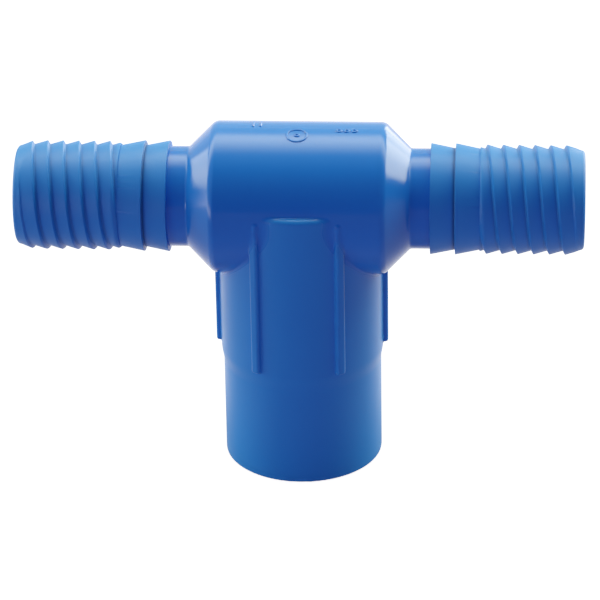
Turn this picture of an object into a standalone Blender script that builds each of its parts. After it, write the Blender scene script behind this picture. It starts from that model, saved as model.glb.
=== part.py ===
"""Insert tee for irrigation pipe: two barbed run ends and one socket branch.

Standalone Blender 4.5 script, in metres with +Z up.
The origin is the centre of the branch's mouth, so the tee stands on its branch.
The run lies along X, above the origin, and the branch points down along Z.
The real tee is one injection moulding. Each object here is one region of it, and the
regions meet on flat planes, at edges that the moulding has anyway wherever it has one.
"""

import math

import bmesh
import bpy

MM = 0.001

# Overall size: all three open ends are the same distance from where the axes cross.
ARM_LENGTH = 71.1 * MM
RUN_HEIGHT = ARM_LENGTH

# Run barrel, its 45 degree shoulders and the plain necks beyond them.
BARREL_RADIUS = 19.1 * MM
BARREL_HALF_LENGTH = 21.3 * MM
NECK_RADIUS = 12.6 * MM
SHOULDER_END = BARREL_HALF_LENGTH + (BARREL_RADIUS - NECK_RADIUS)

# Insert ends: two plain ring barbs, then barbs that spiral with two starts.
RING_FACES = (32.7 * MM, 38.9 * MM)
RING_RADIUS = 13.95 * MM
RING_ROOT_RADIUS = 12.7 * MM
SPIRAL_START = 45.0 * MM
SPIRAL_LEDGE_RADIUS = 13.0 * MM
SPIRAL_LEAD_IN = 1.2 * MM
SPIRAL_PITCH = 3.93 * MM
SPIRAL_STARTS = 2
SPIRAL_FIRST_PEAK = 47.35 * MM
SPIRAL_PEAK_COUNT = 6
SPIRAL_PEAK_RADIUS = 13.7 * MM
SPIRAL_ROOT_RADIUS = 12.75 * MM
SPIRAL_STEEP_LENGTH = 0.55 * MM
TIP_RADIUS = 12.5 * MM
TIP_ROUNDING = 1.0 * MM

# Branch: a hub with six ribs, then a plain socket that is slightly smaller outside.
HUB_RADIUS = 20.7 * MM
HUB_TOP = RUN_HEIGHT + 3.3 * MM
HUB_TOP_ROUNDING = 1.0 * MM
HUB_SPLIT = RUN_HEIGHT - BARREL_RADIUS - 1.5 * MM
HUB_BASE = 26.7 * MM
HUB_TAPER_TOP = 30.2 * MM
SOCKET_RADIUS = 20.15 * MM
MOUTH_ROUNDING = 0.4 * MM
RIB_COUNT = 6
RIB_RADIUS = 21.98 * MM
RIB_ROOT_RADIUS = 18.2 * MM
RIB_WIDTH = 2.4 * MM
RIB_ROUNDING = 0.6 * MM
RIB_BASE = 30.7 * MM
FRONT_RIB_TOP = RUN_HEIGHT + 1.7 * MM
SIDE_RIB_TOP = RUN_HEIGHT - 14.0 * MM

# Waterways: a run bore, a wide core in the hub that ends in a dome, and the pipe socket.
RUN_BORE_RADIUS = 10.3 * MM
BORE_CHAMFER = 0.4 * MM
CORE_RADIUS = 15.0 * MM
SOCKET_MOUTH_RADIUS = 16.83 * MM
SOCKET_SEAT_RADIUS = 16.65 * MM
SOCKET_CHAMFER = 0.8 * MM

# Facets
SEGMENTS = 48
DOME_RINGS = 8
ARC_STEPS = 3
OVERRUN = 5.0 * MM
SHARP_ANGLE = math.radians(30.0)

GLOSS_BLUE = (0.010, 0.140, 0.60, 1.0)
SATIN_BLUE = (0.012, 0.145, 0.58, 1.0)


def clear_scene():
    for obj in list(bpy.data.objects):
        bpy.data.objects.remove(obj)


def plastic(name, colour, roughness):
    """A moulded plastic for one sub-part."""
    material = bpy.data.materials.new(name)
    material.use_nodes = True
    shader = material.node_tree.nodes["Principled BSDF"]
    shader.inputs["Base Color"].default_value = colour
    shader.inputs["Roughness"].default_value = roughness
    shader.inputs["Metallic"].default_value = 0.0
    return material


def add_object(name, bm):
    """Turns a bmesh into a smooth-shaded object with sharp edges kept sharp."""
    bmesh.ops.recalc_face_normals(bm, faces=bm.faces)
    mesh = bpy.data.meshes.new(name)
    bm.to_mesh(mesh)
    bm.free()
    mesh.shade_smooth()
    mesh.set_sharp_from_angle(angle=SHARP_ANGLE)
    obj = bpy.data.objects.new(name, mesh)
    bpy.context.collection.objects.link(obj)
    return obj


def finish(obj, material):
    obj.data.materials.clear()
    obj.data.materials.append(material)
    return obj


def combine(target, tool, operation):
    """Adds an exact Boolean and hides the tool, which is only a guide."""
    tool.hide_render = True
    tool.display_type = "WIRE"
    modifier = target.modifiers.new(tool.name, "BOOLEAN")
    modifier.operation = operation
    modifier.solver = "EXACT"
    modifier.object = tool


def branch_point(along, radius, angle):
    """A point of a solid turned about the branch's axis; along is its height."""
    return (radius * math.cos(angle), radius * math.sin(angle), along)


def run_point(along, radius, angle):
    """A point of a solid turned about the run's axis; along is its distance in X."""
    return (along, -radius * math.sin(angle), RUN_HEIGHT + radius * math.cos(angle))


def arc(centre, radius, start_deg, end_deg, steps=ARC_STEPS):
    """Points of an arc in an outline, as (along, radius) pairs."""
    points = []
    for i in range(steps + 1):
        angle = math.radians(start_deg + (end_deg - start_deg) * i / steps)
        points.append((centre[0] + radius * math.cos(angle), centre[1] + radius * math.sin(angle)))
    return points


def turned(name, outline, place, closed):
    """Turns an outline of (along, radius) points into a solid.

    A closed outline makes a tube. An open one makes a plug that is capped at both ends.
    """
    bm = bmesh.new()
    rings = []
    for along, radius in outline:
        ring = []
        for j in range(SEGMENTS):
            ring.append(bm.verts.new(place(along, radius, math.tau * j / SEGMENTS)))
        rings.append(ring)
    pairs = list(zip(rings, rings[1:]))
    if closed:
        pairs.append((rings[-1], rings[0]))
    else:
        bm.faces.new(rings[0])
        bm.faces.new(rings[-1])
    for ring, following in pairs:
        for j in range(SEGMENTS):
            k = (j + 1) % SEGMENTS
            bm.faces.new((ring[j], ring[k], following[k], following[j]))
    return add_object(name, bm)


def turn_to_side(obj, side):
    """Puts a part made for the +X end on the end that side names, by half a turn about Z."""
    for vertex in obj.data.vertices:
        vertex.co.x *= side
        vertex.co.y *= side
    return obj


def rib(name, angle_deg, base, top):
    """One upright rib with rounded outer edges, standing on the hub's wall."""
    bm = bmesh.new()
    bmesh.ops.create_cube(bm, size=1.0)
    for vertex in bm.verts:
        vertex.co.x = RIB_RADIUS if vertex.co.x > 0.0 else RIB_ROOT_RADIUS
        vertex.co.y *= RIB_WIDTH
        vertex.co.z = top if vertex.co.z > 0.0 else base
    outer = [e for e in bm.edges if all(v.co.x > RIB_ROOT_RADIUS for v in e.verts)]
    bmesh.ops.bevel(bm, geom=outer, offset=RIB_ROUNDING, segments=2, affect="EDGES")
    cos_a = math.cos(math.radians(angle_deg))
    sin_a = math.sin(math.radians(angle_deg))
    for vertex in bm.verts:
        x, y = vertex.co.x, vertex.co.y
        vertex.co.x = x * cos_a - y * sin_a
        vertex.co.y = x * sin_a + y * cos_a
    return add_object(name, bm)


def rib_angles():
    return [360.0 * i / RIB_COUNT for i in range(RIB_COUNT)]


def is_side_rib(angle_deg):
    return abs(math.cos(math.radians(angle_deg))) > 0.9


def hub_core():
    """The wide waterway inside the hub, with a dome where the run crosses it."""
    outline = [(HUB_SPLIT - OVERRUN, CORE_RADIUS)]
    for i in range(DOME_RINGS):
        angle = 0.5 * math.pi * i / DOME_RINGS
        outline.append((RUN_HEIGHT + CORE_RADIUS * math.sin(angle), CORE_RADIUS * math.cos(angle)))
    return turned("cut_hub_core", outline, branch_point, closed=False)


def run_barrel(material):
    """The barrel with both shoulders, and the top of the ribbed hub growing out of it."""
    shoulders = [
        (-SHOULDER_END, NECK_RADIUS),
        (-BARREL_HALF_LENGTH, BARREL_RADIUS),
        (BARREL_HALF_LENGTH, BARREL_RADIUS),
        (SHOULDER_END, NECK_RADIUS),
    ]
    barrel = turned("run_barrel", shoulders, run_point, closed=False)

    rounding = arc(
        (HUB_TOP - HUB_TOP_ROUNDING, HUB_RADIUS - HUB_TOP_ROUNDING), HUB_TOP_ROUNDING, 90.0, 0.0
    )
    saddle = turned("guide_saddle", [(HUB_SPLIT, HUB_RADIUS)] + rounding, branch_point, closed=False)
    combine(barrel, saddle, "UNION")
    for i, angle in enumerate(rib_angles()):
        top = SIDE_RIB_TOP if is_side_rib(angle) else FRONT_RIB_TOP
        upper_rib = rib(f"guide_upper_rib_{i}", angle, HUB_SPLIT - OVERRUN, top)
        combine(barrel, upper_rib, "UNION")

    below = turned(
        "cut_below_split",
        [(HUB_SPLIT - 2.0 * OVERRUN, 2.0 * HUB_RADIUS), (HUB_SPLIT, 2.0 * HUB_RADIUS)],
        branch_point,
        closed=False,
    )
    combine(barrel, below, "DIFFERENCE")
    combine(barrel, hub_core(), "DIFFERENCE")
    bore_end = SHOULDER_END + OVERRUN
    bore = turned(
        "cut_run_bore",
        [(-bore_end, RUN_BORE_RADIUS), (bore_end, RUN_BORE_RADIUS)],
        run_point,
        closed=False,
    )
    combine(barrel, bore, "DIFFERENCE")
    return finish(barrel, material)


def ribbed_hub(material):
    """The hub below the barrel, with the lower part of its six ribs and a taper at its foot."""
    wall = [
        (HUB_BASE, CORE_RADIUS),
        (HUB_BASE, SOCKET_RADIUS),
        (HUB_TAPER_TOP, HUB_RADIUS),
        (HUB_SPLIT, HUB_RADIUS),
        (HUB_SPLIT, CORE_RADIUS),
    ]
    hub = turned("ribbed_hub", wall, branch_point, closed=True)
    for i, angle in enumerate(rib_angles()):
        lower_rib = rib(f"guide_lower_rib_{i}", angle, RIB_BASE, HUB_SPLIT + OVERRUN)
        combine(hub, lower_rib, "UNION")
    above = turned(
        "cut_above_split",
        [(HUB_SPLIT, 2.0 * HUB_RADIUS), (HUB_SPLIT + 2.0 * OVERRUN, 2.0 * HUB_RADIUS)],
        branch_point,
        closed=False,
    )
    combine(hub, above, "DIFFERENCE")
    return finish(hub, material)


def branch_socket(material):
    """The plain socket at the foot of the branch, with a taper bore for the pipe."""
    outside = [(HUB_BASE, SOCKET_RADIUS)]
    lip = arc((MOUTH_ROUNDING, SOCKET_RADIUS - MOUTH_ROUNDING), MOUTH_ROUNDING, 90.0, 180.0)
    inside = [
        (0.0, SOCKET_MOUTH_RADIUS + SOCKET_CHAMFER),
        (SOCKET_CHAMFER, SOCKET_MOUTH_RADIUS),
        (HUB_BASE, SOCKET_SEAT_RADIUS),
    ]
    socket = turned("branch_socket", outside + lip + inside, branch_point, closed=True)
    return finish(socket, material)


def neck(side_name, side, material):
    """The plain tube between a shoulder and the first barb."""
    outline = [
        (SHOULDER_END, RUN_BORE_RADIUS),
        (SHOULDER_END, NECK_RADIUS),
        (RING_FACES[0], NECK_RADIUS),
        (RING_FACES[0], RUN_BORE_RADIUS),
    ]
    tube = turned(f"{side_name}_neck", outline, run_point, closed=True)
    return finish(turn_to_side(tube, side), material)


def ring_barbs(side_name, side, material):
    """Two ring barbs, each with a square face towards the barrel and a long ramp."""
    outline = [(RING_FACES[0], RUN_BORE_RADIUS)]
    for face, ramp_end in zip(RING_FACES, RING_FACES[1:] + (SPIRAL_START,)):
        outline.append((face, RING_RADIUS))
        outline.append((ramp_end, RING_ROOT_RADIUS))
    outline.append((SPIRAL_START, RUN_BORE_RADIUS))
    barbs = turned(f"{side_name}_ring_barbs", outline, run_point, closed=True)
    return finish(turn_to_side(barbs, side), material)


def spiral_row(index):
    """Where a row of the spiral's mesh starts, and its radius: a peak, then a root."""
    tooth, is_root = divmod(index, 2)
    start = SPIRAL_FIRST_PEAK + tooth * SPIRAL_PITCH
    if is_root:
        return start + SPIRAL_PITCH - SPIRAL_STEEP_LENGTH, SPIRAL_ROOT_RADIUS
    return start, SPIRAL_PEAK_RADIUS


def spiral_thread(name):
    """A right-handed thread of saw teeth with two starts, longer than the insert's end.

    Each row of vertices is one edge of the thread. It moves along X by the lead in one
    turn, so the last column of a row joins a row that starts one lead further on.
    """
    lead = SPIRAL_PITCH * SPIRAL_STARTS
    rows_per_turn = 2 * SPIRAL_STARTS
    first = -rows_per_turn - 2
    last = 2 * (SPIRAL_PEAK_COUNT + SPIRAL_STARTS)
    bm = bmesh.new()
    rows = []
    for index in range(first, last + rows_per_turn + 1):
        start, radius = spiral_row(index)
        columns = SEGMENTS if index <= last else 1
        row = []
        for j in range(columns):
            turn = j / SEGMENTS
            row.append(bm.verts.new(run_point(start + lead * turn, radius, math.tau * turn)))
        rows.append(row)

    def vertex(i, j):
        return rows[i][j] if j < SEGMENTS else rows[i + rows_per_turn][0]

    count = last - first + 1
    for i in range(count - 1):
        for j in range(SEGMENTS):
            bm.faces.new((vertex(i, j), vertex(i, j + 1), vertex(i + 1, j + 1), vertex(i + 1, j)))
    for i in (0, count - 1):
        rim = [vertex(i, j) for j in range(SEGMENTS + 1)]
        rim += [vertex(i + k, 0) for k in range(rows_per_turn - 1, 0, -1)]
        middle = sum(v.co.x for v in rim) / len(rim)
        hub = bm.verts.new(run_point(middle, 0.0, 0.0))
        for a, b in zip(rim, rim[1:] + rim[:1]):
            bm.faces.new((hub, a, b))
    return add_object(name, bm)


def spiral_barbs(side_name, side, material):
    """The spiral barbs: the thread cut to a turned envelope with a tapered, rounded tip."""
    envelope = [
        (SPIRAL_START, SPIRAL_LEDGE_RADIUS),
        (SPIRAL_START + SPIRAL_LEAD_IN, SPIRAL_PEAK_RADIUS),
        (SPIRAL_FIRST_PEAK + (SPIRAL_PEAK_COUNT - 1) * SPIRAL_PITCH, SPIRAL_PEAK_RADIUS),
    ]
    envelope += arc((ARM_LENGTH - TIP_ROUNDING, TIP_RADIUS - TIP_ROUNDING), TIP_ROUNDING, 90.0, 0.0)
    barbs = turned(f"{side_name}_spiral_barbs", envelope, run_point, closed=False)
    combine(barbs, spiral_thread(f"guide_{side_name}_thread"), "INTERSECT")
    bore_outline = [
        (SPIRAL_START - OVERRUN, RUN_BORE_RADIUS),
        (ARM_LENGTH - BORE_CHAMFER, RUN_BORE_RADIUS),
        (ARM_LENGTH + BORE_CHAMFER, RUN_BORE_RADIUS + 2.0 * BORE_CHAMFER),
    ]
    bore = turned(f"cut_{side_name}_bore", bore_outline, run_point, closed=False)
    combine(barbs, bore, "DIFFERENCE")
    for obj in [barbs] + [m.object for m in barbs.modifiers]:
        turn_to_side(obj, side)
    return finish(barbs, material)


def build():
    clear_scene()
    run_barrel(plastic("barrel_plastic", GLOSS_BLUE, 0.18))
    ribbed_hub(plastic("hub_plastic", GLOSS_BLUE, 0.30))
    branch_socket(plastic("socket_plastic", GLOSS_BLUE, 0.30))
    for side_name, side in (("left", -1.0), ("right", 1.0)):
        neck(side_name, side, plastic(f"{side_name}_neck_plastic", GLOSS_BLUE, 0.18))
        ring_barbs(side_name, side, plastic(f"{side_name}_ring_plastic", SATIN_BLUE, 0.45))
        spiral_barbs(side_name, side, plastic(f"{side_name}_spiral_plastic", SATIN_BLUE, 0.45))


build()
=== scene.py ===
"""Looks of the irrigation insert tee: fine moulded surfaces, plastics, studio and camera.

Lengths are metres. The tee stands on its branch's mouth at the origin, with its run along X.
The glossy body is one smooth field, meshed once and cut on the CAD's own planes, so that its
pieces meet without a seam. The barbed ends are turned and wound from their tooth profiles.
"""

import math

import bmesh
import bpy
import numpy as np
from mathutils import Matrix, Vector


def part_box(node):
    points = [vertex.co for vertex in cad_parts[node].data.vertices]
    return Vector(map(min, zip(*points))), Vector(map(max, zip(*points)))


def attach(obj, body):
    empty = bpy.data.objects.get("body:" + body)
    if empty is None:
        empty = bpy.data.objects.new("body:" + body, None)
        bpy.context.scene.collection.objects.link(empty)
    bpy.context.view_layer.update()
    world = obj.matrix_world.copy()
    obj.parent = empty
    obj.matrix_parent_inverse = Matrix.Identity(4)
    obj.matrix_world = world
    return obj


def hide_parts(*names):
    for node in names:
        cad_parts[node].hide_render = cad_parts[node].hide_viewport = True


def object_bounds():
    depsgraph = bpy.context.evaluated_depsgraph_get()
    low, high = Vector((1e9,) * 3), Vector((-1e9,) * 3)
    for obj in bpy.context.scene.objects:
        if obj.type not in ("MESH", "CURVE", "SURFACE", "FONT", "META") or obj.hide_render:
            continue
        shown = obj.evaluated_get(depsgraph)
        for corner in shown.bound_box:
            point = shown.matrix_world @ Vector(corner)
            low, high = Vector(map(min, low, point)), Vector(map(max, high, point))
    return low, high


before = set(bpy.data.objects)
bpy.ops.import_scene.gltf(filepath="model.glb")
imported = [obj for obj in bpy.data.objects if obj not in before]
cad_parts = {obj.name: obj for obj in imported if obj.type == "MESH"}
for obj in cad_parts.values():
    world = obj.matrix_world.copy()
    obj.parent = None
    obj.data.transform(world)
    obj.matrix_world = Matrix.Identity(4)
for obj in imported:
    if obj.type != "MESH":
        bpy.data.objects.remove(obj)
cad_low, cad_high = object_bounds()

MM = 0.001

# ---------------------------------------------------------------- sizes read from the frame
neck_low, neck_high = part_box("right_neck")
hub_low, hub_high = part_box("ribbed_hub")
ring_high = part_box("right_ring_barbs")[1]
barrel_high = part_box("run_barrel")[1]
socket_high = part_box("branch_socket")[1]

RUN_HEIGHT = 0.5 * (neck_low.z + neck_high.z)
BARREL_RADIUS = barrel_high.z - RUN_HEIGHT
NECK_RADIUS = neck_high.z - RUN_HEIGHT
SHOULDER_END = neck_low.x
BARREL_HALF_LENGTH = SHOULDER_END - (BARREL_RADIUS - NECK_RADIUS)
FIRST_RING_FACE = neck_high.x
RING_RADIUS = ring_high.z - RUN_HEIGHT
SPIRAL_START = ring_high.x
ARM_LENGTH = cad_high.x
HUB_RADIUS = hub_high.y
HUB_BASE = hub_low.z
HUB_SPLIT = hub_high.z
RIB_RADIUS = hub_high.x
SOCKET_RADIUS = socket_high.x

# ---------------------------------------------------------------- detail sizes
SECOND_RING_FACE = FIRST_RING_FACE + 6.2 * MM
RING_ROOT_RADIUS = 12.7 * MM
RING_EDGE = 0.14 * MM
RING_CORNER = 0.22 * MM
SPIRAL_LEDGE_RADIUS = 13.0 * MM
SPIRAL_LEAD_IN = 1.2 * MM
SPIRAL_PITCH = 3.93 * MM
SPIRAL_STARTS = 2
SPIRAL_FIRST_PEAK = 47.35 * MM
SPIRAL_PEAK_COUNT = 6
SPIRAL_PEAK_RADIUS = 13.72 * MM
SPIRAL_ROOT_RADIUS = 12.72 * MM
SPIRAL_STEEP_LENGTH = 0.55 * MM
SPIRAL_PEAK_EDGE = 0.13 * MM
SPIRAL_ROOT_CORNER = 0.22 * MM
TIP_RADIUS = 12.5 * MM
TIP_ROUNDING = 1.0 * MM
RUN_BORE_RADIUS = 10.3 * MM
BORE_CHAMFER = 0.4 * MM

BARREL_EDGE = 0.7 * MM
NECK_FILLET = 0.2 * MM
HUB_TOP = RUN_HEIGHT + 3.3 * MM
HUB_TOP_ROUNDING = 1.3 * MM
SADDLE_FILLET = 0.35 * MM
HUB_TAPER_BASE = HUB_BASE - 0.6 * MM
HUB_TAPER_TOP = HUB_BASE + 4.0 * MM
MOUTH_ROUNDING = 0.4 * MM
RIB_COUNT = 6
RIB_WIDTH = 2.4 * MM
RIB_EDGE = 0.7 * MM
RIB_FILLET = 0.3 * MM
RIB_BASE = 30.7 * MM
FRONT_RIB_TOP = RUN_HEIGHT + 1.7 * MM
SIDE_RIB_TOP = RUN_HEIGHT - 14.0 * MM
CORE_RADIUS = 15.0 * MM
SOCKET_MOUTH_RADIUS = 16.83 * MM
SOCKET_SEAT_RADIUS = 16.65 * MM
SOCKET_CHAMFER = 0.8 * MM
BORE_EDGE = 0.25 * MM
SOCKET_SEAM = HUB_BASE - 0.6 * MM

# ---------------------------------------------------------------- mesh fineness
NET_STEP = 0.42 * MM
NET_MARGIN = 1.3 * MM
PROBE = 0.02 * MM
SETTLE_STEPS = 3
LEAST_SLOPE = 0.5
RELAX_ROUNDS = 3
KEPT_SHARE = 0.33
TURN_COLUMNS = 192
CORNER_STEPS = 4
ROW_STEP = 0.36 * MM
WELD = 0.0005 * MM
FACES_ALIKE = 0.99
BARB_SHARP_ANGLE = math.radians(50.0)

SQRT2 = math.sqrt(2.0)


# ================================================================ fields of the glossy body
def round_join(a, b, radius):
    """Union of two distance fields, with a fillet where they meet."""
    near = np.hypot(np.maximum(radius - a, 0.0), np.maximum(radius - b, 0.0))
    return np.maximum(radius, np.minimum(a, b)) - near


def round_cut(a, b, radius):
    """What two distance fields have in common, with a rounded edge."""
    near = np.hypot(np.maximum(radius + a, 0.0), np.maximum(radius + b, 0.0))
    return np.minimum(-radius, np.maximum(a, b)) + near


def smooth_share(value, start, end):
    """Zero before start, one after end, and a smooth rise between them."""
    t = np.clip((value - start) / (end - start), 0.0, 1.0)
    return t * t * (3.0 - 2.0 * t)


def run_field(x, run_r):
    """The barrel with its 45 degree shoulders, blended into the plain necks."""
    shoulder = (np.abs(x) + run_r - BARREL_HALF_LENGTH - BARREL_RADIUS) / SQRT2
    barrel = round_cut(run_r - BARREL_RADIUS, shoulder, BARREL_EDGE)
    return round_join(barrel, run_r - NECK_RADIUS, NECK_FILLET)


def hub_field(z, branch_r):
    """The hub and the slightly smaller socket below it, with a rounded top and mouth."""
    wide = smooth_share(z, HUB_TAPER_BASE, HUB_TAPER_TOP)
    radius = SOCKET_RADIUS + (HUB_RADIUS - SOCKET_RADIUS) * wide
    column = round_cut(branch_r - radius, z - HUB_TOP, HUB_TOP_ROUNDING)
    return round_cut(column, -z, MOUTH_ROUNDING)


def rib_field(x, y, z, angle):
    """One upright rib on the hub's wall, with rounded edges and ends."""
    outward = x * math.cos(angle) + y * math.sin(angle)
    across = y * math.cos(angle) - x * math.sin(angle)
    at_side = abs(math.cos(angle)) > abs(math.sin(angle))
    top = SIDE_RIB_TOP if at_side else FRONT_RIB_TOP
    section = round_cut(np.abs(across) - 0.5 * RIB_WIDTH, outward - RIB_RADIUS, RIB_EDGE)
    section = np.maximum(section, -outward)
    return round_cut(section, np.maximum(RIB_BASE - z, z - top), RIB_EDGE)


def bore_field(x, y, z, run_r, branch_r):
    """The waterways: run bore, domed core, and the tapered pipe socket with its stop."""
    core = np.sqrt(branch_r**2 + np.maximum(z - RUN_HEIGHT, 0.0) ** 2) - CORE_RADIUS
    core = np.maximum(core, HUB_BASE - z)
    taper = (SOCKET_MOUTH_RADIUS - SOCKET_SEAT_RADIUS) * (1.0 - z / HUB_BASE)
    socket = np.maximum(branch_r - SOCKET_SEAT_RADIUS - taper, z - HUB_BASE)
    chamfer = (branch_r + z - SOCKET_MOUTH_RADIUS - SOCKET_CHAMFER) / SQRT2
    bores = np.minimum(run_r - RUN_BORE_RADIUS, core)
    return np.minimum(bores, np.minimum(socket, chamfer))


def body_field(x, y, z):
    """Distance to the glossy body's surface, below zero inside the plastic."""
    run_r = np.hypot(y, z - RUN_HEIGHT)
    branch_r = np.hypot(x, y)
    outside = round_join(run_field(x, run_r), hub_field(z, branch_r), SADDLE_FILLET)
    for i in range(RIB_COUNT):
        rib = rib_field(x, y, z, math.tau * i / RIB_COUNT)
        outside = round_join(outside, rib, RIB_FILLET)
    return round_cut(outside, -bore_field(x, y, z, run_r, branch_r), BORE_EDGE)


# ================================================================ from a field to a mesh
def surface_net(field, low, high, step):
    """A closed net of quads with one vertex in each grid cell that the surface crosses."""
    axes = [np.arange(a, b, step) for a, b in zip(low, high)]
    values = field(*np.meshgrid(*axes, indexing="ij"))
    cells = np.array(values.shape) - 1
    strides = np.array([cells[1] * cells[2], cells[2], 1])
    total = np.zeros((int(np.prod(cells)), 3))
    count = np.zeros(len(total))
    quads = []
    for axis in range(3):
        first = np.take(values, range(cells[axis]), axis)
        second = np.take(values, range(1, cells[axis] + 1), axis)
        index = np.argwhere((first < 0.0) != (second < 0.0))
        before = first[tuple(index.T)]
        after = second[tuple(index.T)]
        points = index.astype(float)
        points[:, axis] += before / (before - after)
        b_axis, c_axis = (axis + 1) % 3, (axis + 2) % 3
        inner = (index[:, b_axis] > 0) & (index[:, c_axis] > 0)
        inner &= (index[:, b_axis] < cells[b_axis]) & (index[:, c_axis] < cells[c_axis])
        index, points, before = index[inner], points[inner], before[inner]
        corners = []
        for back_b, back_c in ((1, 1), (0, 1), (0, 0), (1, 0)):
            cell = index @ strides - back_b * strides[b_axis] - back_c * strides[c_axis]
            corners.append(cell)
            count += np.bincount(cell, minlength=len(total))
            for k in range(3):
                total[:, k] += np.bincount(cell, weights=points[:, k], minlength=len(total))
        ring = np.stack(corners, axis=-1)
        outward = before < 0.0
        ring[~outward] = ring[~outward][:, ::-1]
        quads.append(ring)
    used = np.flatnonzero(count)
    number = np.full(len(total), -1)
    number[used] = np.arange(len(used))
    points = total[used] / count[used, None] * step + np.array([a[0] for a in axes])
    return points, number[np.concatenate(quads)]


def slope(field, points):
    """The field's gradient at each point."""
    columns = []
    for axis in range(3):
        shift = np.zeros(3)
        shift[axis] = PROBE
        rise = field(*(points + shift).T) - field(*(points - shift).T)
        columns.append(rise / (2.0 * PROBE))
    return np.stack(columns, axis=-1)


def settle(field, points):
    """Moves points onto the surface, along the field's gradient."""
    for _ in range(SETTLE_STEPS):
        steep = slope(field, points)
        square = np.maximum((steep**2).sum(axis=1), LEAST_SLOPE**2)
        move = steep * (field(*points.T) / square)[:, None]
        points = points - np.clip(move, -NET_STEP, NET_STEP)
    return points


def relax(field, points, quads):
    """Evens out the net: each point moves to its neighbours' mean, then back on the surface."""
    starts = quads.ravel()
    ends = np.roll(quads, -1, axis=1).ravel()
    count = np.bincount(starts, minlength=len(points)) + np.bincount(ends, minlength=len(points))
    for _ in range(RELAX_ROUNDS):
        mean = np.empty_like(points)
        for k in range(3):
            mean[:, k] = np.bincount(starts, weights=points[ends, k], minlength=len(points))
            mean[:, k] += np.bincount(ends, weights=points[starts, k], minlength=len(points))
        points = settle(field, mean / np.maximum(count, 1)[:, None])
    return points


def vertex_array(mesh):
    flat = np.empty(3 * len(mesh.vertices))
    mesh.vertices.foreach_get("co", flat)
    return flat.reshape(-1, 3)


def thinned(mesh, share):
    """The mesh with fewer triangles, where the surface is flat enough to spare them."""
    helper = bpy.data.objects.new("thinning", mesh)
    bpy.context.collection.objects.link(helper)
    modifier = helper.modifiers.new("thin", "DECIMATE")
    modifier.ratio = share
    graph = bpy.context.evaluated_depsgraph_get()
    result = bpy.data.meshes.new_from_object(helper.evaluated_get(graph))
    bpy.data.objects.remove(helper)
    return result


def body_mesh():
    """The whole glossy body as one thinned mesh with every vertex on the true surface."""
    reach_x = FIRST_RING_FACE + NET_MARGIN
    reach_y = RIB_RADIUS + NET_MARGIN
    low = (-reach_x, -reach_y, -NET_MARGIN)
    high = (reach_x, reach_y, RUN_HEIGHT + BARREL_RADIUS + NET_MARGIN)
    points, quads = surface_net(body_field, low, high, NET_STEP)
    points = relax(body_field, settle(body_field, points), quads)
    mesh = bpy.data.meshes.new("glossy_body")
    mesh.from_pydata(points.tolist(), [], quads.tolist())
    mesh = thinned(mesh, KEPT_SHARE)
    settled = settle(body_field, vertex_array(mesh))
    mesh.vertices.foreach_set("co", settled.ravel())
    mesh.update()
    return mesh


def lies_on(place, point, normal):
    """Whether a place is on the plane through a point with this normal."""
    return abs((place - Vector(point)).dot(normal)) < WELD


def sliced_piece(name, source, planes):
    """A closed piece of the body between planes, each given as (point, outward normal)."""
    bm = bmesh.new()
    bm.from_mesh(source)
    for point, normal in planes:
        everything = bm.verts[:] + bm.edges[:] + bm.faces[:]
        bmesh.ops.bisect_plane(
            bm, geom=everything, dist=WELD, plane_co=point, plane_no=normal, clear_outer=True
        )
        rim = [edge for edge in bm.edges if edge.is_boundary]
        rim = [edge for edge in rim if all(lies_on(v.co, point, normal) for v in edge.verts)]
        bmesh.ops.triangle_fill(bm, edges=rim, use_beauty=True, normal=normal)
    bmesh.ops.triangulate(bm, faces=bm.faces[:])
    mesh = bpy.data.meshes.new(name)
    bm.to_mesh(mesh)
    bm.free()
    set_field_normals(mesh, body_field, planes)
    return add_piece(name, mesh)


def set_field_normals(mesh, field, planes):
    """Shades the mesh by the field's own slope, and its cut faces flat."""
    mesh.shade_smooth()
    normals = slope(field, vertex_array(mesh))
    normals /= np.linalg.norm(normals, axis=1)[:, None]
    loops = np.empty(len(mesh.loops), dtype=np.int64)
    mesh.loops.foreach_get("vertex_index", loops)
    per_loop = normals[loops]
    for face in mesh.polygons:
        for point, normal in planes:
            if lies_on(face.center, point, normal) and face.normal.dot(normal) > FACES_ALIKE:
                per_loop[face.loop_start : face.loop_start + face.loop_total] = normal
    mesh.normals_split_custom_set(per_loop.tolist())


def add_piece(name, mesh):
    piece = bpy.data.objects.new(name, mesh)
    bpy.context.collection.objects.link(piece)
    return piece


# ================================================================ turned and wound barbs
def filleted(points, radii):
    """An outline with its inner corners rounded, each by its own radius."""
    result = [points[0]]
    for before, corner, after, radius in zip(points, points[1:], points[2:], radii):
        corner_v = Vector(corner)
        to_before = (Vector(before) - corner_v).normalized()
        to_after = (Vector(after) - corner_v).normalized()
        half = 0.5 * to_before.angle(to_after)
        centre = corner_v + (to_before + to_after).normalized() * (radius / math.sin(half))
        start = corner_v + to_before * (radius / math.tan(half)) - centre
        end = corner_v + to_after * (radius / math.tan(half)) - centre
        for step in range(CORNER_STEPS + 1):
            share = step / CORNER_STEPS
            spoke = (start * (1.0 - share) + end * share).normalized() * radius
            result.append(tuple(centre + spoke))
    result.append(points[-1])
    return result


def run_point(along, radius, angle):
    """A point of a solid about the run's axis; the angle runs from the top to the front."""
    return (along, -radius * math.sin(angle), RUN_HEIGHT + radius * math.cos(angle))


def skin(bm, rows):
    """Joins rows of points with quads. Welding closes the seams afterwards."""
    made = [[bm.verts.new(p) for p in row] for row in rows]
    for row, following in zip(made, made[1:]):
        for j in range(len(row) - 1):
            bm.faces.new((row[j], row[j + 1], following[j + 1], following[j]))


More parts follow.
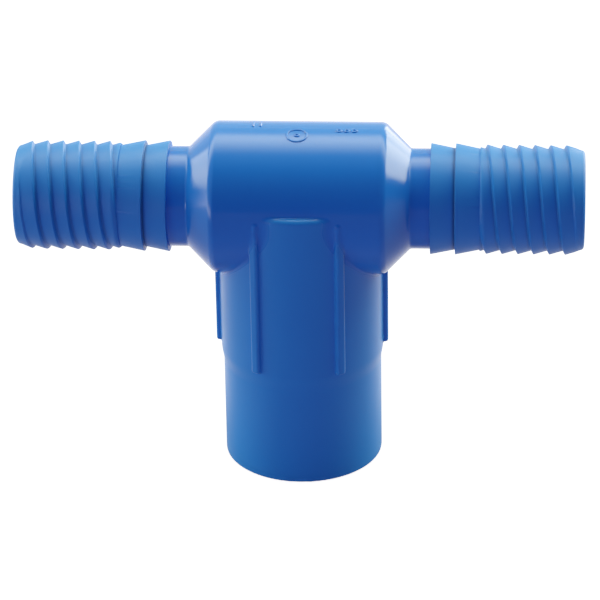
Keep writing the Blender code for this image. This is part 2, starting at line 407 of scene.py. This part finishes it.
def turned_rows(outline):
    """Rows of points of an outline of (along, radius) pairs turned about the run."""
    angles = [math.tau * j / TURN_COLUMNS for j in range(TURN_COLUMNS + 1)]
    return [[run_point(along, radius, angle) for angle in angles] for along, radius in outline]


def barb_piece(name, bm, side):
    """Welds a barb's skin, turns it to its side by half a turn about Z and shades it."""
    bmesh.ops.remove_doubles(bm, verts=bm.verts[:], dist=WELD)
    bmesh.ops.dissolve_degenerate(bm, edges=bm.edges[:], dist=WELD)
    bmesh.ops.recalc_face_normals(bm, faces=bm.faces[:])
    for vertex in bm.verts:
        vertex.co.x *= side
        vertex.co.y *= side
    mesh = bpy.data.meshes.new(name)
    bm.to_mesh(mesh)
    bm.free()
    mesh.shade_smooth()
    mesh.set_sharp_from_angle(angle=BARB_SHARP_ANGLE)
    piece = add_piece(name, mesh)
    weighted = piece.modifiers.new("weighted_normals", "WEIGHTED_NORMAL")
    weighted.keep_sharp = True
    return piece


def ring_barbs(name, side):
    """Two ring barbs: a square face towards the barrel, a crisp rim and a long ramp each."""
    outline = [
        (FIRST_RING_FACE, RUN_BORE_RADIUS),
        (FIRST_RING_FACE, RING_RADIUS),
        (SECOND_RING_FACE, RING_ROOT_RADIUS),
        (SECOND_RING_FACE, RING_RADIUS),
        (SPIRAL_START, RING_ROOT_RADIUS),
        (SPIRAL_START, RUN_BORE_RADIUS),
    ]
    radii = (RING_EDGE, RING_CORNER, RING_EDGE, WELD)
    outline = filleted(outline, radii)
    outline.append(outline[0])
    bm = bmesh.new()
    skin(bm, turned_rows(outline))
    return barb_piece(name, bm, side)


def tooth_profile():
    """One period of the saw tooth, from peak to peak, as arrays of offset and radius."""
    root = SPIRAL_PITCH - SPIRAL_STEEP_LENGTH
    corners = [
        (root - SPIRAL_PITCH, SPIRAL_ROOT_RADIUS),
        (0.0, SPIRAL_PEAK_RADIUS),
        (root, SPIRAL_ROOT_RADIUS),
        (SPIRAL_PITCH, SPIRAL_PEAK_RADIUS),
        (SPIRAL_PITCH + root, SPIRAL_ROOT_RADIUS),
    ]
    profile = filleted(corners, (SPIRAL_PEAK_EDGE, SPIRAL_ROOT_CORNER, SPIRAL_PEAK_EDGE))
    offsets, radii = np.array(profile[1:-1]).T
    return offsets, radii


def tooth_rows():
    """Offsets in one period where the wound mesh has a row: every bend, and fine steps."""
    offsets, _ = tooth_profile()
    bends = sorted({round(o % SPIRAL_PITCH, 9) for o in offsets})
    rows = []
    for a, b in zip(bends, bends[1:] + [bends[0] + SPIRAL_PITCH]):
        steps = max(1, round((b - a) / ROW_STEP))
        rows += [a + (b - a) * k / steps for k in range(steps)]
    return rows


def spiral_envelope():
    """The turned limit of the spiral: a low lead-in at the ledge and a tapered tip."""
    last_peak = SPIRAL_FIRST_PEAK + (SPIRAL_PEAK_COUNT - 1) * SPIRAL_PITCH
    points = [
        (SPIRAL_START, SPIRAL_LEDGE_RADIUS),
        (SPIRAL_START + SPIRAL_LEAD_IN, SPIRAL_PEAK_RADIUS),
        (last_peak, SPIRAL_PEAK_RADIUS),
        (ARM_LENGTH - TIP_ROUNDING, TIP_RADIUS),
    ]
    return np.array(points).T


def spiral_barbs(name, side):
    """Two-start right-handed saw-tooth barbs, wound row by row, with a rounded tip."""
    offsets, radii = tooth_profile()
    envelope_x, envelope_r = spiral_envelope()
    outer_end = ARM_LENGTH - TIP_ROUNDING
    lead = SPIRAL_PITCH * SPIRAL_STARTS
    first_tooth = math.floor((SPIRAL_START - lead - SPIRAL_FIRST_PEAK) / SPIRAL_PITCH)
    last_tooth = math.ceil((outer_end - SPIRAL_FIRST_PEAK) / SPIRAL_PITCH)
    rows = []
    for tooth in range(first_tooth, last_tooth + 1):
        for offset in tooth_rows():
            row = []
            for j in range(TURN_COLUMNS + 1):
                turn = j / TURN_COLUMNS
                wound = SPIRAL_FIRST_PEAK + lead * turn
                along = wound + tooth * SPIRAL_PITCH + offset
                along = min(max(along, SPIRAL_START), outer_end)
                radius = float(np.interp((along - wound) % SPIRAL_PITCH, offsets, radii))
                radius = min(radius, float(np.interp(along, envelope_x, envelope_r)))
                row.append(run_point(along, radius, math.tau * turn))
            rows.append(row)
    tip = [
        (outer_end, TIP_RADIUS),
        (ARM_LENGTH, TIP_RADIUS),
        (ARM_LENGTH, RUN_BORE_RADIUS + BORE_CHAMFER),
        (ARM_LENGTH - BORE_CHAMFER, RUN_BORE_RADIUS),
        (SPIRAL_START, RUN_BORE_RADIUS),
    ]
    tip = filleted(tip, (TIP_ROUNDING - WELD, WELD, WELD))
    bm = bmesh.new()
    skin(bm, rows + turned_rows(tip)[:-1] + [turned_rows([tip[-1]])[0], rows[0]])
    return barb_piece(name, bm, side)


# ================================================================ raised generic marks
# Places are (x, arc), where arc runs round the barrel from its top to the front.
MARK_HEIGHT = 0.25 * MM
MARK_STROKE = 0.32 * MM
MARK_SPACING = 1.9 * MM
LEFT_MARK = (-10.6 * MM, -2.6 * MM)
CENTRE_MARK = (-0.4 * MM, 3.6 * MM)
RIGHT_MARK = (11.9 * MM, 1.4 * MM)
BAR_HALF_LENGTH = 1.9 * MM
BAR_STEPS = 6
LARGE_LOOP_RADIUS = 2.5 * MM
SMALL_LOOP_RADIUS = 0.6 * MM
DOT_RADIUS = 0.5 * MM
LOOP_STEPS = 40


def on_barrel(x, arc, lift=0.0):
    """A point on the barrel; arc is the distance round it from the top to the front."""
    angle = arc / BARREL_RADIUS
    return run_point(x, BARREL_RADIUS + lift, angle)


def stroke_piece(name, strokes):
    """Raised strokes that follow the barrel, each a list of (x, arc) points."""
    curve = bpy.data.curves.new(name, "CURVE")
    curve.dimensions = "3D"
    curve.bevel_depth = MARK_STROKE
    curve.bevel_resolution = 4
    curve.use_fill_caps = True
    for points, cyclic in strokes:
        spline = curve.splines.new("POLY")
        spline.points.add(len(points) - 1)
        for target, (x, arc) in zip(spline.points, points):
            target.co = (*on_barrel(x, arc, MARK_HEIGHT - MARK_STROKE), 1.0)
        spline.use_cyclic_u = cyclic
    helper = bpy.data.objects.new("strokes", curve)
    bpy.context.collection.objects.link(helper)
    graph = bpy.context.evaluated_depsgraph_get()
    mesh = bpy.data.meshes.new_from_object(helper.evaluated_get(graph))
    mesh.name = name
    bpy.data.objects.remove(helper)
    mesh.shade_smooth()
    return add_piece(name, mesh)


def bar(x, arc):
    """A short stroke round the barrel, as its points and that it is open."""
    shares = [2.0 * i / BAR_STEPS - 1.0 for i in range(BAR_STEPS + 1)]
    return [(x, arc + BAR_HALF_LENGTH * share) for share in shares], False


def loop(x, arc, radius):
    """A ring-shaped stroke, as its points and that it is closed."""
    points = []
    for i in range(LOOP_STEPS):
        angle = math.tau * i / LOOP_STEPS
        points.append((x + radius * math.cos(angle), arc + radius * math.sin(angle)))
    return points, True


def raised_marks():
    """Plain mould marks on the barrel's crown: two bars, a ring round a dot, three rings."""
    x, arc = LEFT_MARK
    left = [bar(x + share * MARK_SPACING, arc) for share in (-0.5, 0.5)]
    centre = [loop(*CENTRE_MARK, LARGE_LOOP_RADIUS), loop(*CENTRE_MARK, DOT_RADIUS)]
    x, arc = RIGHT_MARK
    right = [loop(x + share * MARK_SPACING, arc, SMALL_LOOP_RADIUS) for share in (-1.0, 0.0, 1.0)]
    return [
        stroke_piece("raised_mark_left", left),
        stroke_piece("raised_mark_centre", centre),
        stroke_piece("raised_mark_right", right),
    ]


# ================================================================ plastics
POLISHED_BLUES = ((0.0135, 0.164, 0.62, 1.0), (0.0150, 0.180, 0.65, 1.0))
DULL_BLUES = ((0.0125, 0.213, 0.67, 1.0), (0.0140, 0.229, 0.70, 1.0))
SATIN_BLUES = ((0.0145, 0.192, 0.62, 1.0), (0.0155, 0.208, 0.65, 1.0))
BODY_SPECULAR = 0.40
BARB_SPECULAR = 0.36
GLOSSY_ROUGHNESS = (0.13, 0.18)
HUB_ROUGHNESS = (0.285, 0.34)
SATIN_ROUGHNESS = (0.40, 0.47)
BORE_ROUGHNESS = 0.6
# Painted shade on the barbs: an ambient occlusion reading darkens their colour in the tooth
# roots.
GROOVE_REACH = 1.6 * MM
GROOVE_OPENNESS = (0.50, 0.90)
GROOVE_SHARE = 0.4
PARTING_LINE_WIDTH = 0.12 * MM
FINISH_CHANGE = (0.1 * MM, 0.9 * MM)
INNER_SKIN = 0.5 * MM
SOFT_EDGE = 1.0 * MM

# Noises: cells per metre, and detail.
STREAKS = (55.0, 3.0)
BODY_WEAR = (160.0, 4.0)
BODY_SINK = (90.0, 1.0)
BODY_SKIN = (1800.0, 2.0)
BARB_WEAR = (200.0, 4.0)
BARB_TURNING = (2200.0, 3.0)
TURNING_STRETCH = (1.0, 0.02, 0.02)
WEAR_RANGE = (0.25, 0.75)

# Bumps: height, and strength.
SINK_BUMP = (0.05 * MM, 0.2)
LINE_BUMP = (0.03 * MM, 0.6)
SKIN_BUMP = (0.006 * MM, 0.3)
TURNING_BUMP = (0.025 * MM, 0.5)


class Nodes:
    """Short calls for building a shader's node tree."""

    def __init__(self, tree):
        self.nodes = tree.nodes
        self.links = tree.links

    def put(self, socket, value):
        if isinstance(value, bpy.types.NodeSocket):
            self.links.new(value, socket)
        else:
            socket.default_value = value

    def math(self, operation, first, second=0.0):
        node = self.nodes.new("ShaderNodeMath")
        node.operation = operation
        self.put(node.inputs[0], first)
        self.put(node.inputs[1], second)
        return node.outputs[0]

    def degrees(self, radians):
        return self.math("MULTIPLY", radians, 180.0 / math.pi)

    def ramp(self, value, low, high, from_value=0.0, to_value=1.0):
        """Runs smoothly from one value to another as the input goes from low to high."""
        node = self.nodes.new("ShaderNodeMapRange")
        node.interpolation_type = "SMOOTHSTEP"
        self.put(node.inputs["Value"], value)
        node.inputs["From Min"].default_value = low
        node.inputs["From Max"].default_value = high
        self.put(node.inputs["To Min"], from_value)
        self.put(node.inputs["To Max"], to_value)
        return node.outputs["Result"]

    def window(self, value, low, high, soft):
        """One between low and high, and zero outside, with soft edges."""
        rise = self.ramp(value, low - 0.5 * soft, low + 0.5 * soft)
        fall = self.ramp(value, high - 0.5 * soft, high + 0.5 * soft, 1.0, 0.0)
        return self.math("MULTIPLY", rise, fall)

    def split(self, vector):
        node = self.nodes.new("ShaderNodeSeparateXYZ")
        self.links.new(vector, node.inputs["Vector"])
        return node.outputs

    def coordinates(self, kind):
        return self.nodes.new("ShaderNodeTexCoord").outputs[kind]

    def noise(self, vector, per_metre, detail):
        node = self.nodes.new("ShaderNodeTexNoise")
        node.inputs["Scale"].default_value = per_metre
        node.inputs["Detail"].default_value = detail
        self.links.new(vector, node.inputs["Vector"])
        return node.outputs["Fac"]

    def mix_colour(self, share, first, second):
        node = self.nodes.new("ShaderNodeMix")
        node.data_type = "RGBA"
        self.put(node.inputs["Factor"], share)
        self.put(node.inputs["A"], first)
        self.put(node.inputs["B"], second)
        return node.outputs["Result"]

    def bump(self, height, distance, strength, normal=None):
        """The normal bent by a height, on top of another normal where one is given."""
        node = self.nodes.new("ShaderNodeBump")
        node.inputs["Distance"].default_value = distance
        node.inputs["Strength"].default_value = strength
        self.links.new(height, node.inputs["Height"])
        if normal is not None:
            self.links.new(normal, node.inputs["Normal"])
        return node.outputs["Normal"]


def new_material(name):
    material = bpy.data.materials.new(name)
    material.use_nodes = True
    return material, Nodes(material.node_tree), material.node_tree.nodes["Principled BSDF"]


def distance_from_axis(tree, across, upright):
    """Distance from an axis, from the two coordinates at right angles to it."""
    square = tree.math("MULTIPLY", across, across)
    return tree.math("SQRT", tree.math("ADD", square, tree.math("MULTIPLY", upright, upright)))


def hub_share(tree, around):
    """One on the hub and socket, zero on the barrel, from the distance to the run's axis."""
    start, end = FINISH_CHANGE
    return tree.ramp(around, BARREL_RADIUS + start, BARREL_RADIUS + end)


def bore_share(tree, x, around):
    """One in the run's bore and in the core's dome, zero on the outside of the body."""
    bore = RUN_BORE_RADIUS + INNER_SKIN
    dome = CORE_RADIUS + INNER_SKIN
    in_bore = tree.ramp(around, bore, bore + SOFT_EDGE, 1.0, 0.0)
    under_crown = tree.ramp(around, dome, dome + SOFT_EDGE, 1.0, 0.0)
    off_centre = tree.math("ABSOLUTE", x)
    over_core = tree.ramp(off_centre, CORE_RADIUS, CORE_RADIUS + SOFT_EDGE, 1.0, 0.0)
    return tree.math("MAXIMUM", in_bore, tree.math("MULTIPLY", under_crown, over_core))


def parting_line(tree, place):
    """One on the plane through both axes, where the two halves of the mould met."""
    y = tree.split(place)[1]
    return tree.ramp(tree.math("ABSOLUTE", y), 0.0, PARTING_LINE_WIDTH, 1.0, 0.0)


def streaked(tree, place, blues):
    """The plastic's blue, with the faint flow streaks of a moulding."""
    return tree.mix_colour(tree.noise(place, *STREAKS), *blues)


def body_plastic():
    """Polished on the barrel and necks, duller on the hub and socket, matt inside."""
    material, tree, shader = new_material("body_blue")
    place = tree.coordinates("Object")
    x, y, z = tree.split(place)
    around = distance_from_axis(tree, y, tree.math("SUBTRACT", z, RUN_HEIGHT))
    on_hub = hub_share(tree, around)
    blues = [streaked(tree, place, pair) for pair in (POLISHED_BLUES, DULL_BLUES)]
    tree.links.new(tree.mix_colour(on_hub, *blues), shader.inputs["Base Color"])
    shader.inputs["Specular IOR Level"].default_value = BODY_SPECULAR
    wear = tree.noise(place, *BODY_WEAR)
    polished = tree.ramp(wear, *WEAR_RANGE, *GLOSSY_ROUGHNESS)
    dull = tree.ramp(wear, *WEAR_RANGE, *HUB_ROUGHNESS)
    outside = tree.ramp(on_hub, 0.0, 1.0, polished, dull)
    roughness = tree.ramp(bore_share(tree, x, around), 0.0, 1.0, outside, BORE_ROUGHNESS)
    tree.links.new(roughness, shader.inputs["Roughness"])
    sink = tree.bump(tree.noise(place, *BODY_SINK), *SINK_BUMP)
    line = tree.bump(parting_line(tree, place), *LINE_BUMP, sink)
    skin = tree.bump(tree.noise(place, *BODY_SKIN), *SKIN_BUMP, line)
    tree.links.new(skin, shader.inputs["Normal"])
    return material


def painted_groove_shade(tree, blue):
    """The blue with painted shade: darker in the roots between the teeth, where light hardly
    reaches.
    """
    openness = tree.nodes.new("ShaderNodeAmbientOcclusion")
    openness.inputs["Distance"].default_value = GROOVE_REACH
    openness.only_local = True
    level = tree.ramp(openness.outputs["AO"], *GROOVE_OPENNESS, GROOVE_SHARE, 1.0)
    dark = tree.nodes.new("ShaderNodeVectorMath")
    dark.operation = "SCALE"
    tree.links.new(blue, dark.inputs[0])
    tree.links.new(level, dark.inputs["Scale"])
    return dark.outputs[0]


def barb_plastic():
    """Satin, with the fine rings that a turned mould insert leaves, and painted shade in the
    tooth roots.
    """
    material, tree, shader = new_material("satin_blue")
    place = tree.coordinates("Object")
    # Painted shade: the base colour is darkened in the roots between the teeth.
    blue = painted_groove_shade(tree, streaked(tree, place, SATIN_BLUES))
    tree.links.new(blue, shader.inputs["Base Color"])
    shader.inputs["Specular IOR Level"].default_value = BARB_SPECULAR
    wear = tree.noise(place, *BARB_WEAR)
    tree.links.new(tree.ramp(wear, *WEAR_RANGE, *SATIN_ROUGHNESS), shader.inputs["Roughness"])
    stretch = tree.nodes.new("ShaderNodeMapping")
    stretch.inputs["Scale"].default_value = TURNING_STRETCH
    tree.links.new(place, stretch.inputs["Vector"])
    rings = tree.bump(tree.noise(stretch.outputs["Vector"], *BARB_TURNING), *TURNING_BUMP)
    line = tree.bump(parting_line(tree, place), *LINE_BUMP, rings)
    tree.links.new(line, shader.inputs["Normal"])
    return material


# ================================================================ studio
# Directions are in degrees: azimuth 0 faces the viewer (-Y) and 90 faces +X. The roof is graded
# over the top, from 0 at the back horizon to 180 at the front one.
BACK_WALL = 1.05
ROOF_CREST = 7.2
ROOF_RISE = (38.0, 56.0)
ROOF_FALL = (57.0, 92.0)
ROOF_FADE = (92.0, 116.0)
FALL_SHARE = 0.06
FADE_SHARE = 0.1
ROOF_LEFT_EDGE = (-0.99, -0.93)
ROOF_RIGHT_EDGE = (0.92, 0.95)
SIDE_LIGHTS = (
    # azimuth from, to, elevation from, to, strength, edge softness
    (101.0, 122.0, 9.0, 23.0, 10.5, 2.0),
    (120.0, 142.0, 6.0, 23.0, 12.0, 5.0),
    (140.0, 166.0, -6.0, 18.0, 7.5, 5.0),
    (-130.0, -96.0, 1.0, 14.0, 7.0, 4.0),
    (-130.0, -40.0, -10.0, 2.0, 4.2, 4.0),
    (130.0, 180.0, -10.0, 2.0, 1.6, 4.0),
    (-96.0, -40.0, 2.0, 60.0, 0.36, 8.0),
)
LAMP_TINT = (1.0, 1.06, 0.93, 1.0)
TABLE_TINT = (0.97, 0.96, 1.03, 1.0)
TABLE_GLOW = (0.28, 0.62, 1.7)
TABLE_FRONT = (-0.8, 0.1)
TABLE_BACK = (0.2, 0.9)
SHADE_REACH = 58.0 * MM
SHADE_SIDES = 64
SHADE_DROP = 0.3 * MM
SHADE_DEPTH = 0.3
DIFFUSE_SHADE_SHARE = 0.45
FILL_COLOUR = (0.28, 0.22, 1.0)
FILL_STRENGTH = 0.88
FILL_SPREAD = math.radians(120.0)
FILL_TILT = math.radians(85.0)
FLOOR_REACH = 6.0
FLOOR_DROP = 0.1 * MM
FLOOR_GREY = (0.3, 0.3, 0.3, 1.0)
FLOOR_ROUGHNESS = 0.9
FLOOR_GLOW = 1.9
HORIZON_SOFTNESS = 6.0
WHITE_POINT = 2.0
SHOULDER = 0.5
TONE_STOPS = (0.06, 0.12, 0.25, 0.4, 0.6, 0.8)


def studio_world():
    """A light tent: a graded roof that is brightest behind, low side lights, a dim table."""
    world = bpy.data.worlds.new("light_tent")
    bpy.context.scene.world = world
    world.use_nodes = True
    tent = Nodes(world.node_tree)
    x, y, z = tent.split(tent.coordinates("Generated"))
    azimuth = tent.degrees(tent.math("ARCTAN2", x, tent.math("MULTIPLY", y, -1.0)))
    elevation = tent.degrees(tent.math("ARCSINE", z))
    over = tent.degrees(tent.math("ARCTAN2", z, y))

    roof = tent.ramp(over, *ROOF_RISE, BACK_WALL, ROOF_CREST)
    roof = tent.math("MULTIPLY", roof, tent.ramp(over, *ROOF_FALL, 1.0, FALL_SHARE))
    roof = tent.math("MULTIPLY", roof, tent.ramp(over, *ROOF_FADE, 1.0, FADE_SHARE))
    past_left = tent.ramp(x, *ROOF_LEFT_EDGE)
    before_right = tent.ramp(x, *ROOF_RIGHT_EDGE, 1.0, 0.0)
    sky = tent.math("MULTIPLY", roof, tent.math("MULTIPLY", past_left, before_right))

    front, side, back = TABLE_GLOW
    near_half = tent.ramp(y, *TABLE_FRONT, front, side)
    table = tent.math("ADD", near_half, tent.ramp(y, *TABLE_BACK, 0.0, back - side))
    half = 0.5 * HORIZON_SOFTNESS
    glow = tent.ramp(elevation, -half, half, table, sky)
    for from_az, to_az, from_el, to_el, strength, soft in SIDE_LIGHTS:
        across = tent.window(azimuth, from_az, to_az, soft)
        upright = tent.window(elevation, from_el, to_el, soft)
        light = tent.math("MULTIPLY", tent.math("MULTIPLY", across, upright), strength)
        glow = tent.math("MAXIMUM", glow, light)
    background = tent.nodes["Background"]
    above = tent.ramp(elevation, -half, 2.0 * half)
    tent.links.new(tent.mix_colour(above, TABLE_TINT, LAMP_TINT), background.inputs["Color"])
    tent.links.new(glow, background.inputs["Strength"])


def studio_floor():
    """A pale table for the camera. The object is lit by the tent's own table glow instead."""
    mesh = bpy.data.meshes.new("floor")
    signs = ((-1, -1), (1, -1), (1, 1), (-1, 1))
    corners = [(FLOOR_REACH * x, FLOOR_REACH * y, 0.0) for x, y in signs]
    mesh.from_pydata(corners, [], [(0, 1, 2, 3)])
    floor = bpy.data.objects.new("floor", mesh)
    floor.location.z = -FLOOR_DROP
    bpy.context.collection.objects.link(floor)
    material, _, shader = new_material("pale_floor")
    shader.inputs["Base Color"].default_value = FLOOR_GREY
    shader.inputs["Roughness"].default_value = FLOOR_ROUGHNESS
    shader.inputs["Specular IOR Level"].default_value = 0.0
    shader.inputs["Emission Color"].default_value = (1.0, 1.0, 1.0, 1.0)
    shader.inputs["Emission Strength"].default_value = FLOOR_GLOW
    mesh.materials.append(material)
    floor.visible_diffuse = False
    floor.visible_glossy = False
    floor.visible_shadow = False


def contact_shade():
    """An unseen grey filter round the mouth: the table is dimmer close to the tee."""
    mesh = bpy.data.meshes.new("contact_shade")
    angles = [math.tau * i / SHADE_SIDES for i in range(SHADE_SIDES)]
    rim = [(SHADE_REACH * math.cos(a), SHADE_REACH * math.sin(a), 0.0) for a in angles]
    mesh.from_pydata(rim, [], [tuple(range(SHADE_SIDES))])
    shade = bpy.data.objects.new("contact_shade", mesh)
    shade.location.z = -SHADE_DROP
    bpy.context.collection.objects.link(shade)
    material, tree, shader = new_material("contact_shade")
    x, y = tree.split(tree.coordinates("Object"))[:2]
    around = distance_from_axis(tree, x, y)
    passed = tree.ramp(around, SOCKET_RADIUS, SHADE_REACH, SHADE_DEPTH, 1.0)
    milder = tree.ramp(passed, 0.0, 1.0, 1.0 - DIFFUSE_SHADE_SHARE, 1.0)
    glossy = tree.nodes.new("ShaderNodeLightPath").outputs["Is Glossy Ray"]
    filter_node = tree.nodes.new("ShaderNodeBsdfTransparent")
    tree.links.new(tree.ramp(glossy, 0.0, 1.0, milder, passed), filter_node.inputs["Color"])
    tree.links.new(filter_node.outputs["BSDF"], tree.nodes["Material Output"].inputs["Surface"])
    tree.nodes.remove(shader)
    mesh.materials.append(material)
    shade.visible_camera = False


def studio_fill():
    """A broad blue light from the front that stands for light scattered inside the plastic."""
    fill = bpy.data.lights.new("blue_fill", "SUN")
    fill.angle = FILL_SPREAD
    fill.energy = FILL_STRENGTH
    fill.color = FILL_COLOUR
    lamp = bpy.data.objects.new("blue_fill", fill)
    lamp.rotation_euler = (FILL_TILT, 0.0, 0.0)
    lamp.visible_glossy = False
    bpy.context.collection.objects.link(lamp)


def film_response():
    """A soft shoulder for the bright tones: v becomes v / (1 + SHOULDER * v)."""
    view = bpy.context.scene.view_settings
    view.view_transform = "Standard"
    view.use_curve_mapping = True
    mapping = view.curve_mapping
    mapping.white_level = (WHITE_POINT, WHITE_POINT, WHITE_POINT)
    tones = mapping.curves[3].points
    for share in TONE_STOPS:
        value = share * WHITE_POINT
        tones.new(share, value / (1.0 + SHOULDER * value))
    for point in tones:
        point.handle_type = "AUTO"
    mapping.update()


def studio():
    studio_world()
    contact_shade()
    studio_fill()
    studio_floor()
    film_response()


# ================================================================ camera
CAMERA_AZIMUTH = 3.627
CAMERA_ELEVATION = 27.595
CAMERA_ROLL = -0.969
CAMERA_DISTANCE = 0.9058
CAMERA_LENS = 213.5
CAMERA_CLIP = (0.02, 20.0)
SENSOR_WIDTH = 36.0
AIM = Vector((-0.5 * MM, 0.0, RUN_HEIGHT - 29.1 * MM))


def camera():
    """A long lens, seen from slightly right of the front and from above, with a slight roll."""
    azimuth = math.radians(CAMERA_AZIMUTH)
    elevation = math.radians(CAMERA_ELEVATION)
    roll = math.radians(CAMERA_ROLL)
    flat = Vector((math.sin(azimuth), -math.cos(azimuth), 0.0))
    level = Vector((math.cos(azimuth), math.sin(azimuth), 0.0))
    back = flat * math.cos(elevation) + Vector((0.0, 0.0, math.sin(elevation)))
    upright = back.cross(level)
    right = level * math.cos(roll) + upright * math.sin(roll)
    up = upright * math.cos(roll) - level * math.sin(roll)
    data = bpy.data.cameras.new("photo_camera")
    data.sensor_width = SENSOR_WIDTH
    data.lens = CAMERA_LENS
    data.clip_start, data.clip_end = CAMERA_CLIP
    viewer = bpy.data.objects.new("photo_camera", data)
    bpy.context.collection.objects.link(viewer)
    turn = Matrix((right, up, back)).transposed().to_4x4()
    viewer.matrix_world = Matrix.Translation(AIM + back * CAMERA_DISTANCE) @ turn
    bpy.context.scene.camera = viewer


# ================================================================ assembly
def dress(piece, material, slot, *nodes):
    """Gives a piece its material and body, and hides the CAD nodes it stands for. The slot is not
    used.
    """
    piece.data.materials.clear()
    piece.data.materials.append(material)
    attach(piece, "root")
    if nodes:
        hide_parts(*nodes)


def build():
    """Makes every piece: the body's five slices, the barbs of both arms and the marks."""
    glossy = body_plastic()
    satin = barb_plastic()

    body = body_mesh()
    above = ((0, 0, HUB_SPLIT), Vector((0, 0, -1)))
    below = ((0, 0, HUB_SPLIT), Vector((0, 0, 1)))
    left_end = ((-SHOULDER_END, 0, 0), Vector((-1, 0, 0)))
    right_end = ((SHOULDER_END, 0, 0), Vector((1, 0, 0)))
    barrel = sliced_piece("barrel_shell", body, (above, left_end, right_end))
    dress(barrel, glossy, "gloss_body", "run_barrel")
    hub_floor = ((0, 0, SOCKET_SEAM), Vector((0, 0, -1)))
    hub = sliced_piece("hub_shell", body, (below, hub_floor))
    dress(hub, glossy, "gloss_body", "ribbed_hub")
    socket_roof = ((0, 0, SOCKET_SEAM), Vector((0, 0, 1)))
    socket = sliced_piece("socket_shell", body, (socket_roof,))
    dress(socket, glossy, "gloss_body", "branch_socket")
    for name, side in (("left", -1.0), ("right", 1.0)):
        inner = ((side * SHOULDER_END, 0, 0), Vector((-side, 0, 0)))
        outer = ((side * FIRST_RING_FACE, 0, 0), Vector((side, 0, 0)))
        neck = sliced_piece(f"{name}_neck_tube", body, (inner, outer))
        dress(neck, glossy, "gloss_body", f"{name}_neck")
        rings = ring_barbs(f"{name}_ring_barb_pair", side)
        dress(rings, satin, "satin_barbs", f"{name}_ring_barbs")
        spiral = spiral_barbs(f"{name}_spiral_barb_run", side)
        dress(spiral, satin, "satin_barbs", f"{name}_spiral_barbs")
    for mark in raised_marks():
        dress(mark, glossy, "gloss_body")


build()
studio()
camera()
